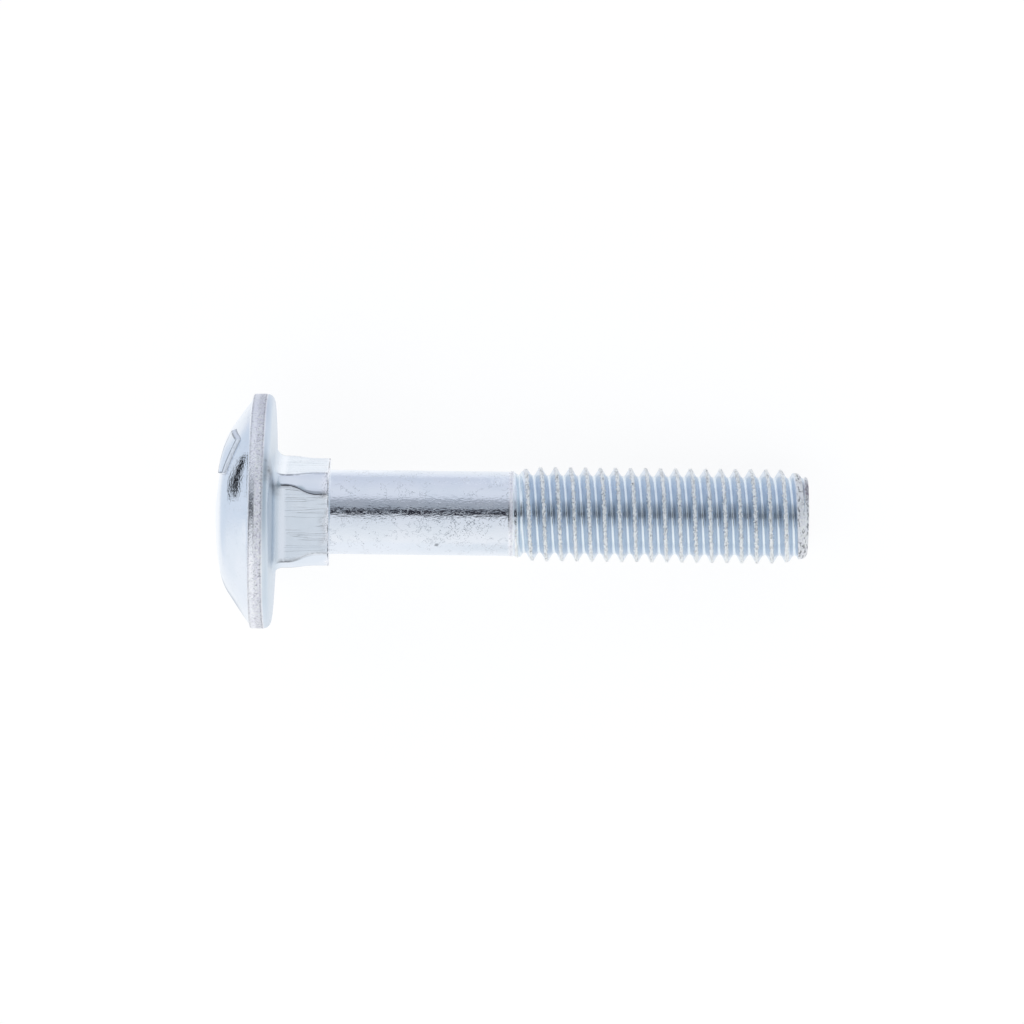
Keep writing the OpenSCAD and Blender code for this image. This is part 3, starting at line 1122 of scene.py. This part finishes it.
def floor_material(studio):
    """A pale floor. It looks white, keeps a faint shadow, and the metal mirrors its shades."""
    material, shade = new_material("pale_floor")
    spot = shade.node("ShaderNodeNewGeometry", output="Position")
    along = shade.node("ShaderNodeSeparateXYZ", output="X", Vector=spot) / MM
    across = shade.node("ShaderNodeSeparateXYZ", output="Y", Vector=spot) / MM
    # Places with a shade of their own for the metal to mirror, in millimetres
    by_neck = along.band((-6, -2), (7, 11)) * across.ramp(4, 7)
    past_neck = along.ramp(10, 20) * across.ramp(-22, -14, 1.0, 0.0)
    far_side = across.ramp(11, 18)
    past_head = along.ramp(-1, 3) * across.ramp(19, 24, 1.0, 0.0)
    past_head = far_side * past_head.math("MAXIMUM", along.ramp(15, 21))
    beside_dome = along.band((-9.5, -7.5), (-4, -2)) * across.band((-11, -9), (-7, -5))
    behind_head = along.ramp(-22, -14, 1.0, 0.0) * across.ramp(-16, 0)
    layers = (
        (by_neck, (0.98, 0.98, 0.98)),
        (past_neck, (0.74, 0.77, 0.79)),
        (far_side, (0.6, 0.63, 0.71)),
        (past_head, (0.82, 0.84, 0.89)),
        (beside_dome, (0.55, 0.58, 0.62)),
        (behind_head * 0.8, (0.6, 0.67, 0.76)),
    )
    mirrored = shade.layered(rgba((0.88, 0.89, 0.9)), layers)
    camera = shade.node("ShaderNodeLightPath", output="Is Camera Ray")
    glossy = shade.node("ShaderNodeLightPath", output="Is Glossy Ray")
    through = shade.node("ShaderNodeLightPath", output="Is Transmission Ray")
    seen = (camera + glossy + through).math("MINIMUM", 1.0)
    tint = shade.mix(glossy, rgba(studio.floor), mirrored)
    matt = shade.node("ShaderNodeBsdfDiffuse", Color=rgba((0.2, 0.2, 0.2)))
    glow = shade.node("ShaderNodeEmission", Color=tint, Strength=seen)
    both = shade.node("ShaderNodeAddShader", **numbered(matt, glow))
    shade.node("ShaderNodeOutputMaterial", Surface=both)
    return material


def card_material():
    """Black card."""
    material, shade = new_material("black_card")
    matt = shade.node("ShaderNodeBsdfDiffuse", Color=rgba((0.01, 0.01, 0.012)))
    shade.node("ShaderNodeOutputMaterial", Surface=matt)
    return material


# Corners of the dark card on the floor, in millimetres
CARD = ((-34, 15), (-45, 9), (-60, 4.8), (-62, 9.5), (-54, 14.5), (-46, 18), (-38, 18))


def flat_piece(name, corners, material):
    """One flat face of the stage."""
    mesh = bpy.data.meshes.new(name)
    mesh.from_pydata(corners, [], [tuple(range(len(corners)))])
    piece = bpy.data.objects.new(name, mesh)
    bpy.context.scene.collection.objects.link(piece)
    piece.data.materials.append(material)
    return piece


class BOLT_OT_make_stage(bpy.types.Operator):
    """Makes the floor, the light and the camera"""

    bl_idname = "bolt.make_stage"
    bl_label = "Make stage"

    def execute(self, context):
        studio = context.scene.studio
        low = min(cad_box[0][2], cad_box[1][2])
        half = studio.floor_size / 2
        square = ((-half, -half), (half, -half), (half, half), (-half, half))
        flat_piece("floor", [(x, y, low) for x, y in square], floor_material(studio))
        # A scrap of card outside the picture, which the dome mirrors as a dark patch
        card = flat_piece(
            "card", [(x * MM, y * MM, low + 0.5 * MM) for x, y in CARD], card_material()
        )
        card.visible_camera = False
        card.visible_diffuse = False
        card.visible_shadow = False
        make_world()
        self.add_lamp(context, studio)
        self.add_camera(context, studio)
        context.scene.view_settings.view_transform = "Standard"
        return {"FINISHED"}

    @staticmethod
    def add_lamp(context, studio):
        """A broad soft lamp that gives the shadow its direction."""
        lamp = bpy.data.lights.new("soft_lamp", "AREA")
        lamp.shape = "DISK"
        lamp.size = studio.lamp_w
        lamp.energy = studio.lamp_power
        softbox = bpy.data.objects.new("soft_lamp", lamp)
        softbox.location = studio.lamp_at
        beam = Vector((20 * MM, 0, 0)) - softbox.location
        softbox.rotation_euler = beam.to_track_quat("-Z", "Y").to_euler()
        softbox.visible_glossy = False
        context.scene.collection.objects.link(softbox)

    @staticmethod
    def add_camera(context, studio):
        """The camera looks down on the bolt, square to its axis."""
        camera = bpy.data.cameras.new("camera")
        camera.lens = camera.sensor_width * studio.distance / studio.frame_w
        viewer = bpy.data.objects.new("camera", camera)
        aim = ALONG * studio.aim_along + ACROSS * studio.aim_across
        right = ALONG * math.cos(studio.roll) + ACROSS * math.sin(studio.roll)
        up = UPWARD.cross(right)
        turn = Matrix((right, up, UPWARD)).transposed().to_4x4()
        viewer.matrix_world = Matrix.Translation(aim + UPWARD * studio.distance) @ turn
        context.scene.collection.objects.link(viewer)
        context.scene.camera = viewer


class BOLT_PT_sidebar(bpy.types.Panel):
    """Lists the bolt's pieces and its stage"""

    bl_idname = "BOLT_PT_sidebar"
    bl_label = "Carriage bolt"
    bl_space_type = "VIEW_3D"
    bl_region_type = "UI"
    bl_category = "Carriage bolt"

    def draw(self, context):
        layout = self.layout
        for operator in OPERATORS:
            layout.operator(operator.bl_idname)
        for group in (context.scene.bolt_sizes, context.scene.zinc_look, context.scene.studio):
            box = layout.box()
            for name in group.bl_rna.properties.keys():
                if name not in ("rna_type", "name"):
                    box.prop(group, name)


GROUPS = (BoltSizes, ZincLook, StudioSetting)
OPERATORS = (BOLT_OT_make_bolt, BOLT_OT_make_pad, BOLT_OT_make_stage)
CLASSES = (*GROUPS, *OPERATORS, BOLT_PT_sidebar)


def register():
    """Adds the classes and the settings to Blender."""
    for cls in CLASSES:
        bpy.utils.register_class(cls)
    bpy.types.Scene.bolt_sizes = PointerProperty(type=BoltSizes)
    bpy.types.Scene.zinc_look = PointerProperty(type=ZincLook)
    bpy.types.Scene.studio = PointerProperty(type=StudioSetting)


def unregister():
    """Takes the classes and the settings out of Blender."""
    del bpy.types.Scene.studio
    del bpy.types.Scene.zinc_look
    del bpy.types.Scene.bolt_sizes
    for cls in reversed(CLASSES):
        bpy.utils.unregister_class(cls)


def main():
    """Makes every piece and the stage."""
    register()
    bpy.ops.bolt.make_bolt()
    bpy.ops.bolt.make_pad()
    bpy.ops.bolt.make_stage()


if __name__ == "__main__":
    main()
